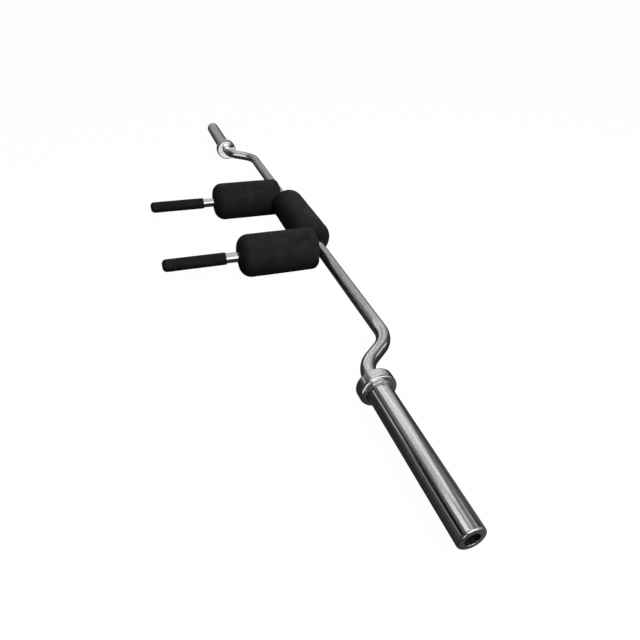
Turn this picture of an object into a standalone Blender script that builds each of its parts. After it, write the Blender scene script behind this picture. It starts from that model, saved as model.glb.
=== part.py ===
"""Safety squat bar: a barbell with cranked ends, turning sleeves, two forward handles and three foam pads.

The bar lies on its shoulder pads. +X is the lifter's left, the handles point along -Y and +Z is up.
The origin is under the middle of the whole bar, on the floor. All sizes are in metres.
"""

import math

import bmesh
import bpy
from mathutils import Matrix

# The bar
OVERALL_LENGTH = 2.200
SHAFT_RADIUS = 0.015875
CAMBER = 0.086
CAMBER_ANGLE = math.radians(49.5)
BEND_RADIUS = 0.082
LEAD_TO_COLLAR = 0.0095
TIGHTEST_S_BEND = 0.95

# The sleeves and their collars
SLEEVE_RADIUS = 0.025
SLEEVE_LENGTH = 0.318
SLEEVE_EDGE = 0.004
COLLAR_RADIUS = 0.0385
COLLAR_WIDTH = 0.026
COLLAR_INNER_CHAMFER = 0.0015
COLLAR_OUTER_ROUNDING = 0.005
WELD_FILLET = 0.003

# The bearings inside a sleeve, and what keeps it on
JOURNAL_STEP = 0.0029
JOURNAL_ROOT = 0.010
OUTER_JOURNAL_STEP = 0.002
BUSH_WALL = 0.003
INNER_BUSH_LENGTH = 0.045
OUTER_BUSH_LENGTH = 0.030
JOURNAL_STEP_LEAD = 0.005
THRUST_WASHER_THICKNESS = 0.002
END_HOLE_RADIUS = 0.0135
END_HOLE_DEPTH = 0.022
END_HOLE_CHAMFER = 0.001
RETAINING_WASHER_THICKNESS = 0.003
RETAINING_WASHER_CLEARANCE = 0.0005
BOLT_HEAD_RADIUS = 0.008
BOLT_HEAD_HEIGHT = 0.008
BOLT_HEAD_CHAMFER = 0.0008
BOLT_SHANK_RADIUS = 0.005
BOLT_SHANK_LENGTH = 0.028
BOLT_HOLE_SPARE = 0.002
HEX_SOCKET_RADIUS = 0.0046
HEX_SOCKET_DEPTH = 0.0045

# The handles
HANDLE_SPACING = 0.390
HANDLE_RISE = 0.0045
HANDLE_TUBE_RADIUS = 0.0136
HANDLE_TUBE_WALL = 0.0025
HANDLE_TUBE_START = 0.006
BARE_TUBE_LENGTH = 0.0325
GRIP_LENGTH = 0.165
GRIP_RADIUS = 0.0167
GRIP_TIP_ROUNDING = 0.0115
GRIP_ROOT_ROUNDING = 0.0015
GRIP_END_WALL = 0.005

# The pads
SHOULDER_PAD_SETBACK = 0.0145
SHOULDER_PAD_LENGTH = 0.2205
SHOULDER_PAD_RADIUS = 0.0595
SHOULDER_PAD_FRONT_ROUNDING = 0.032
SHOULDER_PAD_REAR_ROUNDING = 0.015
NECK_PAD_RADIUS = 0.0535
NECK_PAD_ROUNDING = 0.0255
NECK_PAD_SQUEEZE = 0.0145
PAD_CROWN = 0.001
REST_FLAT = 0.0005
COVER_THICKNESS = 0.0015
COVER_OPENING_CLEARANCE = 0.0008

# Room between pieces that touch, and how fine the round surfaces are
GAP = 0.0003
SHAFT_SIDES = 24
TURNED_STEPS = 40
BEARING_STEPS = 24
PAD_STEPS = 32
PAD_EDGE_STEPS = 4
PAD_CROWN_STEPS = 4
HANDLE_STEPS = 32
BEND_STEPS = 8

# Worked out from the sizes above
COLLAR_FACE_X = OVERALL_LENGTH / 2 - SLEEVE_LENGTH - COLLAR_WIDTH
SLEEVE_FULL_LENGTH = COLLAR_WIDTH + SLEEVE_LENGTH
JOURNAL_RADIUS = SHAFT_RADIUS - JOURNAL_STEP
OUTER_JOURNAL_RADIUS = JOURNAL_RADIUS - OUTER_JOURNAL_STEP
BUSH_RADIUS = JOURNAL_RADIUS + GAP + BUSH_WALL
SLEEVE_BORE_RADIUS = BUSH_RADIUS + GAP
END_HOLE_START = SLEEVE_FULL_LENGTH - END_HOLE_DEPTH
OUTER_BUSH_END = END_HOLE_START - GAP
OUTER_BUSH_START = OUTER_BUSH_END - OUTER_BUSH_LENGTH
BOLT_SEAT = END_HOLE_START + GAP + RETAINING_WASHER_THICKNESS + GAP
BOLT_HOLE_RADIUS = BOLT_SHANK_RADIUS + GAP
SHOULDER_PAD_FRONT = SHOULDER_PAD_SETBACK + SHOULDER_PAD_LENGTH
GRIP_START = SHOULDER_PAD_FRONT + BARE_TUBE_LENGTH
HANDLE_REACH = GRIP_START + GRIP_LENGTH
NECK_PAD_LENGTH = HANDLE_SPACING - 2 * SHOULDER_PAD_RADIUS + 2 * NECK_PAD_SQUEEZE
SHAFT_Y = (HANDLE_REACH - NECK_PAD_RADIUS) / 2
SHAFT_Z = max(
    SHOULDER_PAD_RADIUS - REST_FLAT - HANDLE_RISE,
    NECK_PAD_RADIUS,
    COLLAR_RADIUS,
)
SIDES = (("left", 1), ("right", -1))

COLOURS = {
    "shaft_chrome": ((0.55, 0.55, 0.56), 0.28, 1.0),
    "sleeve_chrome": ((0.62, 0.62, 0.63), 0.12, 1.0),
    "handle_chrome": ((0.72, 0.72, 0.73), 0.18, 1.0),
    "bronze": ((0.55, 0.36, 0.16), 0.35, 1.0),
    "zinc_steel": ((0.42, 0.42, 0.43), 0.40, 1.0),
    "grip_rubber": ((0.015, 0.015, 0.016), 0.75, 0.0),
    "pad_cover": ((0.018, 0.018, 0.020), 0.60, 0.0),
    "pad_foam": ((0.12, 0.12, 0.125), 0.95, 0.0),
}


def clear_scene():
    for obj in list(bpy.data.objects):
        bpy.data.objects.remove(obj, do_unlink=True)


def make_collection(name):
    collection = bpy.data.collections.new(name)
    bpy.context.scene.collection.children.link(collection)
    return collection


def make_material(name):
    colour, roughness, metallic = COLOURS[name]
    material = bpy.data.materials.new(name)
    material.use_nodes = True
    shader = material.node_tree.nodes["Principled BSDF"]
    shader.inputs["Base Color"].default_value = (*colour, 1.0)
    shader.inputs["Roughness"].default_value = roughness
    shader.inputs["Metallic"].default_value = metallic
    return material


def add_object(name, data, parent=None, finish=None):
    """A part when it has a finish, and a cutter when it has none."""
    obj = bpy.data.objects.new(name, data)
    obj.parent = parent
    if finish is None:
        CUTTERS.objects.link(obj)
        obj.hide_render = True
        obj.display_type = "WIRE"
    else:
        PARTS.objects.link(obj)
        obj.data.materials.append(make_material(finish))
        obj.data.materials[0].name = name + "_" + finish
    return obj


def add_empty(name, matrix, parent=None):
    empty = bpy.data.objects.new(name, None)
    empty.empty_display_size = 0.05
    empty.parent = parent
    empty.matrix_local = matrix
    PARTS.objects.link(empty)
    return empty


def arc(centre, radius, start, end, steps):
    """Points (r, z) on a circle about centre, from one angle to another, both in degrees."""
    points = []
    for step in range(steps + 1):
        angle = math.radians(start + (end - start) * step / steps)
        points.append(
            (centre[0] + radius * math.cos(angle), centre[1] + radius * math.sin(angle))
        )
    return points


def turned(name, profile, steps, ring, parent=None, finish=None):
    """Turns a profile of (r, z) points about the local Z axis.

    The profile runs down its outer side. A ring's profile is closed; a solid's starts and ends on the axis.
    """
    mesh = bpy.data.meshes.new(name)
    count = len(profile)
    edges = [(i, (i + 1) % count) for i in range(count if ring else count - 1)]
    mesh.from_pydata([(r, 0.0, z) for r, z in profile], edges, [])
    obj = add_object(name, mesh, parent, finish)
    screw = obj.modifiers.new("Turn", "SCREW")
    screw.axis = "Z"
    screw.steps = steps
    screw.render_steps = steps
    screw.use_merge_vertices = True
    screw.merge_threshold = 0.00001
    screw.use_smooth_shade = True
    return obj


def cut(obj, cutter):
    modifier = obj.modifiers.new("Cut by " + cutter.name, "BOOLEAN")
    modifier.operation = "DIFFERENCE"
    modifier.object = cutter


def even_shading(obj):
    modifier = obj.modifiers.new("Even shading", "WEIGHTED_NORMAL")
    modifier.weight = 100


def cylinder_along_x(name, radius, half_length, sides):
    """A cutter round the shaft's axis."""
    bm = bmesh.new()
    turn = Matrix.Rotation(math.pi / 2, 4, "Y")
    place = Matrix.Translation((0.0, SHAFT_Y, SHAFT_Z)) @ turn
    bmesh.ops.create_cone(
        bm,
        cap_ends=True,
        segments=sides,
        radius1=radius,
        radius2=radius,
        depth=2 * half_length,
        matrix=place,
    )
    mesh = bpy.data.meshes.new(name)
    bm.to_mesh(mesh)
    bm.free()
    return add_object(name, mesh)


def pad_outline(start, length, radius, front_rounding, rear_rounding, inset):
    """The outer line of a padded roll, from its front end to its rear end.

    Its ends are well rounded and its middle is crowned. A positive inset lies inside the pad's skin and
    a negative one outside it.
    """
    side = radius - PAD_CROWN - inset
    front_curve = front_rounding - inset
    rear_curve = rear_rounding - inset
    front = start + length - front_rounding
    rear = start + rear_rounding
    points = arc((side - front_curve, front), front_curve, 90, 0, PAD_EDGE_STEPS)
    for step in range(1, PAD_CROWN_STEPS):
        across = 2 * step / PAD_CROWN_STEPS - 1
        crown = PAD_CROWN * (1 - across**2)
        points.append((side + crown, front + (rear - front) * step / PAD_CROWN_STEPS))
    points += arc((side - rear_curve, rear), rear_curve, 0, -90, PAD_EDGE_STEPS)
    return points


def pad_solid(name, outline, parent, bore=None, finish=None):
    """A pad's form turned about local Z: solid, or with a bore through it."""
    front, rear = outline[0][1], outline[-1][1]
    inner = 0.0 if bore is None else bore
    profile = [(inner, front)] + outline + [(inner, rear)]
    return turned(name, profile, PAD_STEPS, bore is not None, parent, finish)


def bend_route():
    """Points (x, forward) of the S-bend at one end of the shaft, from the straight middle to the collar."""
    turn_in = 1 - math.cos(CAMBER_ANGLE)
    bend = min(BEND_RADIUS, TIGHTEST_S_BEND * CAMBER / (2 * turn_in))
    slope = (CAMBER - 2 * bend * turn_in) / math.sin(CAMBER_ANGLE)
    run = 2 * bend * math.sin(CAMBER_ANGLE) + slope * math.cos(CAMBER_ANGLE)
    knee = COLLAR_FACE_X - LEAD_TO_COLLAR - run
    points = []
    for step in range(BEND_STEPS + 1):
        angle = CAMBER_ANGLE * step / BEND_STEPS
        points.append((knee + bend * math.sin(angle), bend * (1 - math.cos(angle))))
    elbow_x = points[-1][0] + slope * math.cos(CAMBER_ANGLE)
    elbow_y = points[-1][1] + slope * math.sin(CAMBER_ANGLE)
    for step in range(BEND_STEPS + 1):
        angle = CAMBER_ANGLE * (1 - step / BEND_STEPS)
        points.append(
            (
                elbow_x + bend * (math.sin(CAMBER_ANGLE) - math.sin(angle)),
                elbow_y + bend * (math.cos(angle) - math.cos(CAMBER_ANGLE)),
            )
        )
    points.append((COLLAR_FACE_X, CAMBER))
    return points


def make_shaft(frames):
    """One bent bar with a turned journal on each end."""
    half = bend_route()
    route = [(-x, y) for x, y in reversed(half)] + half
    curve = bpy.data.curves.new("shaft_route", "CURVE")
    curve.dimensions = "3D"
    curve.bevel_depth = SHAFT_RADIUS
    curve.bevel_resolution = (SHAFT_SIDES - 4) // 2
    curve.use_fill_caps = True
    spline = curve.splines.new("POLY")
    spline.points.add(len(route) - 1)
    for point, (x, forward) in zip(spline.points, route):
        point.co = (x, SHAFT_Y - forward, SHAFT_Z, 1.0)
    guide = bpy.data.objects.new("shaft_route", curve)
    CUTTERS.objects.link(guide)
    graph = bpy.context.evaluated_depsgraph_get()
    mesh = bpy.data.meshes.new_from_object(guide.evaluated_get(graph))
    bpy.data.objects.remove(guide, do_unlink=True)
    bm = bmesh.new()
    bm.from_mesh(mesh)
    bmesh.ops.remove_doubles(bm, verts=bm.verts, dist=0.00001)
    bmesh.ops.recalc_face_normals(bm, faces=bm.faces)
    bm.to_mesh(mesh)
    bm.free()
    mesh.name = "shaft"
    mesh.shade_smooth()
    shaft = add_object("shaft", mesh, None, "shaft_chrome")
    for side, _ in SIDES:
        journal = make_journal(side, frames[side]["journal"])
        join = shaft.modifiers.new("Join " + side + " journal", "BOOLEAN")
        join.operation = "UNION"
        join.object = journal
    even_shading(shaft)


def make_journal(side, frame):
    """The turned end of the shaft: two bearing lands and a tapped hole for the end bolt."""
    step = OUTER_BUSH_START - JOURNAL_STEP_LEAD
    hole_end = BOLT_SEAT - BOLT_SHANK_LENGTH - BOLT_HOLE_SPARE
    root = -JOURNAL_ROOT
    chamfer = OUTER_JOURNAL_STEP / 2
    profile = [
        (0.0, hole_end),
        (BOLT_HOLE_RADIUS, hole_end),
        (BOLT_HOLE_RADIUS, END_HOLE_START),
        (OUTER_JOURNAL_RADIUS - chamfer, END_HOLE_START),
        (OUTER_JOURNAL_RADIUS, END_HOLE_START - chamfer),
        (OUTER_JOURNAL_RADIUS, step),
        (JOURNAL_RADIUS, step - OUTER_JOURNAL_STEP),
        (JOURNAL_RADIUS, root),
        (0.0, root),
    ]
    return turned(side + "_journal_form", profile, BEARING_STEPS, False, frame)


def make_sleeve(side, spin):
    """The tube that carries the plates, bored for its bushes and narrowed at its end."""
    edge = SLEEVE_EDGE
    profile = [
        (SLEEVE_BORE_RADIUS, 0.0),
        (SLEEVE_BORE_RADIUS, END_HOLE_START),
        (END_HOLE_RADIUS, END_HOLE_START),
        (END_HOLE_RADIUS, SLEEVE_FULL_LENGTH - END_HOLE_CHAMFER),
        (END_HOLE_RADIUS + END_HOLE_CHAMFER, SLEEVE_FULL_LENGTH),
    ]
    centre = (SLEEVE_RADIUS - edge, SLEEVE_FULL_LENGTH - edge)
    profile += arc(centre, edge, 90, 0, 4)
    profile.append((SLEEVE_RADIUS, 0.0))
    sleeve = turned(side + "_sleeve", profile, TURNED_STEPS, True, spin, "sleeve_chrome")
    even_shading(sleeve)


def make_collar(side, spin):
    """The flange that stops the plates, rounded on its outer rim, with its weld to the sleeve."""
    bore = SLEEVE_RADIUS + GAP
    face = COLLAR_WIDTH
    profile = [(bore, 0.0), (bore, face + WELD_FILLET)]
    profile += arc((bore + WELD_FILLET, face + WELD_FILLET), WELD_FILLET, 180, 270, 4)[1:]
    edge = COLLAR_OUTER_ROUNDING
    profile += arc((COLLAR_RADIUS - edge, face - edge), edge, 90, 0, 3)
    profile += [
        (COLLAR_RADIUS, COLLAR_INNER_CHAMFER),
        (COLLAR_RADIUS - COLLAR_INNER_CHAMFER, 0.0),
    ]
    collar = turned(side + "_collar", profile, TURNED_STEPS, True, spin, "sleeve_chrome")
    even_shading(collar)


def ring_piece(name, inner, outer, start, length, parent, finish):
    """A plain bush or washer."""
    end = start + length
    profile = [(inner, start), (inner, end), (outer, end), (outer, start)]
    even_shading(turned(name, profile, BEARING_STEPS, True, parent, finish))


def make_bearings(side, journal, spin):
    """The thrust washer at the shaft's shoulder and the two bronze bushes pressed into the sleeve."""
    inner = JOURNAL_RADIUS + GAP
    thickness = THRUST_WASHER_THICKNESS
    bush_start = GAP + thickness + GAP
    ring_piece(side + "_thrust_washer", inner, BUSH_RADIUS, GAP, thickness, journal, "zinc_steel")
    ring_piece(
        side + "_inner_bush", inner, BUSH_RADIUS, bush_start, INNER_BUSH_LENGTH, spin, "bronze"
    )
    ring_piece(
        side + "_outer_bush",
        OUTER_JOURNAL_RADIUS + GAP,
        BUSH_RADIUS,
        OUTER_BUSH_START,
        OUTER_BUSH_LENGTH,
        spin,
        "bronze",
    )


def make_end_bolt(side, journal):
    """The socket-head bolt and washer, deep in the sleeve's end hole, that keep the sleeve on."""
    ring_piece(
        side + "_retaining_washer",
        BOLT_HOLE_RADIUS,
        END_HOLE_RADIUS - RETAINING_WASHER_CLEARANCE,
        END_HOLE_START + GAP,
        RETAINING_WASHER_THICKNESS,
        journal,
        "zinc_steel",
    )
    top = BOLT_SEAT + BOLT_HEAD_HEIGHT
    profile = [
        (0.0, top),
        (BOLT_HEAD_RADIUS - BOLT_HEAD_CHAMFER, top),
        (BOLT_HEAD_RADIUS, top - BOLT_HEAD_CHAMFER),
        (BOLT_HEAD_RADIUS, BOLT_SEAT),
        (BOLT_SHANK_RADIUS, BOLT_SEAT),
        (BOLT_SHANK_RADIUS, BOLT_SEAT - BOLT_SHANK_LENGTH),
        (0.0, BOLT_SEAT - BOLT_SHANK_LENGTH),
    ]
    bolt = turned(side + "_end_bolt", profile, BEARING_STEPS, False, journal, "zinc_steel")
    bm = bmesh.new()
    bmesh.ops.create_cone(
        bm,
        cap_ends=True,
        segments=6,
        radius1=HEX_SOCKET_RADIUS,
        radius2=HEX_SOCKET_RADIUS,
        depth=2 * HEX_SOCKET_DEPTH,
        matrix=Matrix.Translation((0.0, 0.0, top)),
    )
    mesh = bpy.data.meshes.new(side + "_hex_socket")
    bm.to_mesh(mesh)
    bm.free()
    cut(bolt, add_object(side + "_hex_socket", mesh, journal))
    even_shading(bolt)


def make_handle(side, frame, shaft_cutter):
    """The tube that leaves the shaft, coped to its round, and the grip on its end."""
    tube_end = HANDLE_REACH - GRIP_END_WALL - GAP
    inner = HANDLE_TUBE_RADIUS - HANDLE_TUBE_WALL
    profile = [
        (inner, HANDLE_TUBE_START),
        (inner, tube_end),
        (HANDLE_TUBE_RADIUS, tube_end),
        (HANDLE_TUBE_RADIUS, HANDLE_TUBE_START),
    ]
    tube = turned(side + "_handle_tube", profile, HANDLE_STEPS, True, frame, "handle_chrome")
    cut(tube, shaft_cutter)
    even_shading(tube)
    bore = HANDLE_TUBE_RADIUS + GAP
    tip = GRIP_TIP_ROUNDING
    root = GRIP_ROOT_ROUNDING
    profile = [(0.0, HANDLE_REACH)]
    profile += arc((GRIP_RADIUS - tip, HANDLE_REACH - tip), tip, 90, 0, 5)
    profile += arc((GRIP_RADIUS - root, GRIP_START + root), root, 0, -90, 2)
    profile += [(bore, GRIP_START), (bore, HANDLE_REACH - GRIP_END_WALL)]
    profile.append((0.0, HANDLE_REACH - GRIP_END_WALL))
    even_shading(turned(side + "_grip", profile, HANDLE_STEPS, False, frame, "grip_rubber"))


def shoulder_outline(inset):
    return pad_outline(
        SHOULDER_PAD_SETBACK,
        SHOULDER_PAD_LENGTH,
        SHOULDER_PAD_RADIUS,
        SHOULDER_PAD_FRONT_ROUNDING,
        SHOULDER_PAD_REAR_ROUNDING,
        inset,
    )


def neck_outline(inset):
    return pad_outline(
        -NECK_PAD_LENGTH / 2,
        NECK_PAD_LENGTH,
        NECK_PAD_RADIUS,
        NECK_PAD_ROUNDING,
        NECK_PAD_ROUNDING,
        inset,
    )


def make_padded_roll(name, outline, frame, core, dents):
    """A foam roll in its cover, on a tube of radius core.

    dents is a function that gives the cutters which press into the roll, each grown by its argument.
    """
    opening = core + GAP + COVER_OPENING_CLEARANCE
    foam_inset = COVER_THICKNESS + GAP
    cover = pad_solid(name + "_cover", outline(0.0), frame, opening, "pad_cover")
    hollow = pad_solid(name + "_hollow", outline(COVER_THICKNESS), frame)
    foam = pad_solid(name + "_foam", outline(foam_inset), frame, core + GAP, "pad_foam")
    for obj, inset in ((cover, 0.0), (hollow, COVER_THICKNESS), (foam, foam_inset)):
        for cutter in dents(inset):
            cut(obj, cutter)
    cut(cover, hollow)
    even_shading(foam)
    return cover


def make_shoulder_pads(frames):
    """The rolls on the handles. The shaft presses into their rear ends, and they rest on the floor."""
    reach = HANDLE_SPACING / 2 + 2 * SHOULDER_PAD_RADIUS
    made = {}

    def shaft_dent(inset):
        if inset not in made:
            name = "shaft_dent_" + str(len(made))
            made[inset] = cylinder_along_x(name, SHAFT_RADIUS + GAP + inset, reach, SHAFT_SIDES)
        return [made[inset]]

    bm = bmesh.new()
    depth = SHOULDER_PAD_RADIUS
    size = Matrix.Diagonal((2 * reach, 4 * HANDLE_REACH, depth, 1.0))
    bmesh.ops.create_cube(bm, size=1.0, matrix=Matrix.Translation((0.0, 0.0, -depth / 2)) @ size)
    mesh = bpy.data.meshes.new("floor_cutter")
    bm.to_mesh(mesh)
    bm.free()
    floor = add_object("floor_cutter", mesh)
    for side, _ in SIDES:
        name = side + "_shoulder"
        frame = frames[side]["handle"]
        cover = make_padded_roll(name, shoulder_outline, frame, HANDLE_TUBE_RADIUS, shaft_dent)
        cut(cover, floor)
        even_shading(cover)


def make_neck_pad(frames):
    """The roll on the shaft. Both its ends are pressed in by the shoulder pads."""
    made = {}

    def shoulder_dents(inset):
        if inset not in made:
            made[inset] = [
                pad_solid(
                    side + "_press_" + str(len(made)),
                    shoulder_outline(-GAP - inset),
                    frames[side]["handle"],
                )
                for side, _ in SIDES
            ]
        return made[inset]

    place = Matrix.Translation((0.0, SHAFT_Y, SHAFT_Z)) @ Matrix.Rotation(math.pi / 2, 4, "Y")
    frame = add_empty("neck_frame", place)
    even_shading(make_padded_roll("neck", neck_outline, frame, SHAFT_RADIUS, shoulder_dents))


def make_frames():
    """Empties on the sleeves' and handles' axes. Local Z points outboard on a sleeve, forward on a handle."""
    frames = {}
    for side, sign in SIDES:
        outboard = Matrix.Rotation(sign * math.pi / 2, 4, "Y")
        seat = Matrix.Translation((sign * COLLAR_FACE_X, SHAFT_Y - CAMBER, SHAFT_Z))
        journal = add_empty(side + "_journal_frame", seat @ outboard)
        spin = add_empty(side + "_sleeve_spin", Matrix.Identity(4), journal)
        forward = Matrix.Rotation(math.pi / 2, 4, "X")
        root = Matrix.Translation((sign * HANDLE_SPACING / 2, SHAFT_Y, SHAFT_Z + HANDLE_RISE))
        handle = add_empty(side + "_handle_frame", root @ forward)
        frames[side] = {"journal": journal, "spin": spin, "handle": handle}
    return frames


def main():
    frames = make_frames()
    make_shaft(frames)
    cope = cylinder_along_x("cope_cutter", SHAFT_RADIUS + GAP, HANDLE_SPACING, 2 * SHAFT_SIDES)
    for side, _ in SIDES:
        journal = frames[side]["journal"]
        spin = frames[side]["spin"]
        make_sleeve(side, spin)
        make_collar(side, spin)
        make_bearings(side, journal, spin)
        make_end_bolt(side, journal)
        make_handle(side, frames[side]["handle"], cope)
    make_shoulder_pads(frames)
    make_neck_pad(frames)


clear_scene()
PARTS = make_collection("safety_squat_bar")
CUTTERS = make_collection("cutters")
main()
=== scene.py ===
"""A cambered barbell with a padded yoke: its fine pieces, its finishes and a small studio.

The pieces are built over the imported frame, in metres, with the bar along X and the handles along -Y.
"""

import math

import bmesh
import bpy
from bpy.props import FloatProperty, FloatVectorProperty, IntProperty, PointerProperty
from bpy.types import Operator, Panel, PropertyGroup
from mathutils import Euler, Matrix, Vector, noise


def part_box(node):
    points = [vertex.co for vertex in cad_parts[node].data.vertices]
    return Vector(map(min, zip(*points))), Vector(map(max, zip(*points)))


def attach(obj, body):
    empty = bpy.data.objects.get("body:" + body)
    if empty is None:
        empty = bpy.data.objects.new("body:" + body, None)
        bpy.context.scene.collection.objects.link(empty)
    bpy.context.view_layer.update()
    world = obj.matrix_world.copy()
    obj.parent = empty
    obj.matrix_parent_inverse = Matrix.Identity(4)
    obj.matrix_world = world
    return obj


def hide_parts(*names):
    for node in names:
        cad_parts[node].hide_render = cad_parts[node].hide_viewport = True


bl_info = {
    "name": "Padded Yoke Barbell",
    "version": (1, 0, 0),
    "blender": (4, 5, 0),
    "location": "3D View > Sidebar > Barbell",
    "description": "Builds a cambered barbell with turning sleeves, handles and foam pads",
    "category": "Add Mesh",
}

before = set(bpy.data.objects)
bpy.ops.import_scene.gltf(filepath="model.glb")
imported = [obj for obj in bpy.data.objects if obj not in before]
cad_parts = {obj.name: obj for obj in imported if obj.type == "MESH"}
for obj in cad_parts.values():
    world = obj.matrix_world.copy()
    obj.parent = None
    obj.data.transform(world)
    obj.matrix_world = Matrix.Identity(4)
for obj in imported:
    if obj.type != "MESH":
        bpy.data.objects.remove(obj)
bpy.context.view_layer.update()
SIDES = (("left", 1.0), ("right", -1.0))

X_AXIS = Vector((1.0, 0.0, 0.0))
Y_AXIS = Vector((0.0, 1.0, 0.0))
Z_AXIS = Vector((0.0, 0.0, 1.0))
EVEN = (1.0, 1.0, 1.0)
WHITE = (1.0, 1.0, 1.0, 1.0)

# Vertices nearer than the first are one, and nearer than the second they lie on the same ring or plane
MERGE = 1e-6
NEAR = 1e-5

# Sides of the shaft, of the small round pieces, and of the sleeves and collars
SHAFT_SIDES = 64
SMALL_SIDES = 96
LARGE_SIDES = 128
BEND_STEPS = 20
STRAIGHT_STEPS = 6
PAD_STEPS = 44

# The bolt's shank, its hole, how much deeper that is tapped, and where the journal steps down
BOLT_RADIUS = 0.005
BOLT_HOLE_RADIUS = 0.0053
TAPPED_DEEPER = 0.002
STEP_BEFORE_BUSH = 0.007

# How far a pad's skin stays off the shaft, the floor, another pad and the opening for its tube
SHAFT_CLEARANCE = 0.0006
FLOOR_CLEARANCE = 0.0003
PAD_CLEARANCE = 0.0008
BORE_CLEARANCE = 0.0004

# How soft a dent's lip is before and after the foam swells, and how far off a point is left alone
SOFT_LIP = 0.004
CRISP_LIP = 0.0006
PRESS_REACH = 0.02

# A wave texture of scale 1 has its waves this far apart
WAVE_LENGTH = 0.314


def length(**given):
    """A size in metres that a user can change."""
    return FloatProperty(unit="LENGTH", **given)


def angle(**given):
    """An angle in radians that a user can change."""
    return FloatProperty(subtype="ANGLE", **given)


class BarSizes(PropertyGroup):
    shaft_radius: length(name="Shaft radius", description="Radius of the bent bar", default=0.015875)
    camber_angle: angle(
        name="Camber angle",
        description="How steeply the shaft steps forward at each end",
        default=math.radians(49.5),
    )
    bend_radius: length(name="Bend radius", description="Radius of the shaft's bends", default=0.082)
    lead_to_collar: length(
        name="Lead to collar",
        description="Straight length between the last bend and the collar",
        default=0.0095,
    )
    journal_radius: length(
        name="Journal radius", description="Radius of the shaft inside the inner bush", default=0.012975
    )
    outer_journal_radius: length(
        name="Outer journal radius",
        description="Radius of the shaft inside the outer bush",
        default=0.010975,
    )
    sleeve_edge: length(name="Sleeve edge", description="Rounding of the sleeve's end", default=0.004)
    sleeve_bore: length(name="Sleeve bore", description="Radius of the bushes' bore", default=0.016575)
    end_hole_radius: length(
        name="End hole radius", description="Radius of the hole in the sleeve's end", default=0.0135
    )
    end_hole_depth: length(name="End hole depth", description="Depth of that hole", default=0.022)
    collar_width: length(name="Collar width", description="Width of the flange", default=0.026)
    collar_inner_edge: length(
        name="Collar inner edge", description="Rounding on the shaft's side", default=0.0042
    )
    collar_outer_edge: length(
        name="Collar outer edge", description="Rounding on the plates' side", default=0.003
    )
    bevel_radius: length(
        name="Bevel radius", description="Radius at which the collar's face starts to slope", default=0.0332
    )
    bevel_angle: angle(name="Bevel angle", description="How much it slopes", default=math.radians(20))
    weld_size: length(name="Weld size", description="Leg of the weld round the sleeve", default=0.0027)
    weld_beads: IntProperty(name="Weld ripples", description="Ripples round one weld", default=30, min=8)
    bolt_head_radius: length(
        name="Bolt head radius", description="Radius of the end bolt's head", default=0.008
    )
    bolt_head_height: length(
        name="Bolt head height", description="Height of the end bolt's head", default=0.008
    )
    hex_radius: length(
        name="Hex socket radius", description="Corner radius of the socket in its head", default=0.0046
    )
    hex_depth: length(name="Hex socket depth", description="Depth of that socket", default=0.0045)
    tube_wall: length(name="Handle wall", description="Wall of the handle tubes", default=0.0025)
    grip_tip: length(name="Grip tip rounding", description="Rounding of a grip's tip", default=0.0115)
    grip_root: length(name="Grip root rounding", description="Rounding of a grip's root", default=0.0015)
    gap: length(name="Gap", description="Room between pieces that touch", default=0.0003)


class PadSizes(PropertyGroup):
    front_rounding: length(
        name="Front rounding", description="Rounding of a shoulder pad's end by the grip", default=0.032
    )
    rear_rounding: length(
        name="Rear rounding", description="Rounding of a shoulder pad's end by the shaft", default=0.015
    )
    neck_rounding: length(
        name="Neck pad rounding", description="Rounding of the neck pad's ends", default=0.0255
    )
    neck_length: length(
        name="Neck pad length", description="Length before its ends are pressed in", default=0.300
    )
    opening: length(name="Opening", description="Room between a pad and its tube", default=0.0006)
    unevenness: length(name="Unevenness", description="How far the foam's surface wanders", default=0.0006)
    pressure: FloatProperty(
        name="Pressure", description="How hard the foam fills its skin", default=4.0, min=0.0
    )
    reach: length(name="Reach", description="The furthest that the skin may swell", default=0.0022)


class StudioSettings(PropertyGroup):
    eye: FloatVectorProperty(
        name="Eye", description="Where the camera stands", default=(1.4063, -0.2629, 0.7155), unit="LENGTH"
    )
    angles: FloatVectorProperty(
        name="Angles",
        description="The camera's rotation",
        default=(math.radians(54.868), math.radians(-2.411), math.radians(70.77)),
        subtype="EULER",
    )
    lens: FloatProperty(name="Lens", description="Focal length in mm on a 36 mm sensor", default=28.55)
    key_power: FloatProperty(
        name="Key power", description="Power of the softbox overhead", default=95.0, unit="POWER"
    )
    fill_strength: FloatProperty(name="Fill", description="Light from all round", default=0.06, min=0.0)


def middle(node):
    """The centre of a CAD node's box."""
    low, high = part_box(node)
    return (low + high) / 2


def span(node):
    """The size of a CAD node's box."""
    low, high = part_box(node)
    return high - low


def new_object(bm, name, finishes):
    """Makes a bmesh an object of the scene."""
    mesh = bpy.data.meshes.new(name)
    bm.to_mesh(mesh)
    bm.free()
    for finish in finishes:
        mesh.materials.append(finish)
    made = bpy.data.objects.new(name, mesh)
    bpy.context.scene.collection.objects.link(made)
    return made


def finish_piece(bm, name, body, finishes, sharp=35):
    """Makes a bmesh a piece that rides on a body, smooth but for edges sharper than an angle in degrees."""
    piece = new_object(bm, name, finishes)
    piece.data.shade_smooth()
    piece.data.set_sharp_from_angle(angle=math.radians(sharp))
    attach(piece, body)
    return piece


def even_shading(piece):
    """Weights the normals by face area, so that flats stay flat beside their rounded edges."""
    modifier = piece.modifiers.new("Even shading", "WEIGHTED_NORMAL")
    modifier.weight = 100
    modifier.keep_sharp = True


def on_ring(vert, along, radius):
    """Whether a vertex lies on the ring of one corner of a turned outline."""
    return abs(vert.co.x - along) < MERGE and abs(math.hypot(vert.co.y, vert.co.z) - radius) < NEAR


def rounding_steps(rounding):
    """How many faces go round a rounding."""
    return max(3, round(rounding / 0.0008)) if rounding < 0.01 else 12


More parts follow.
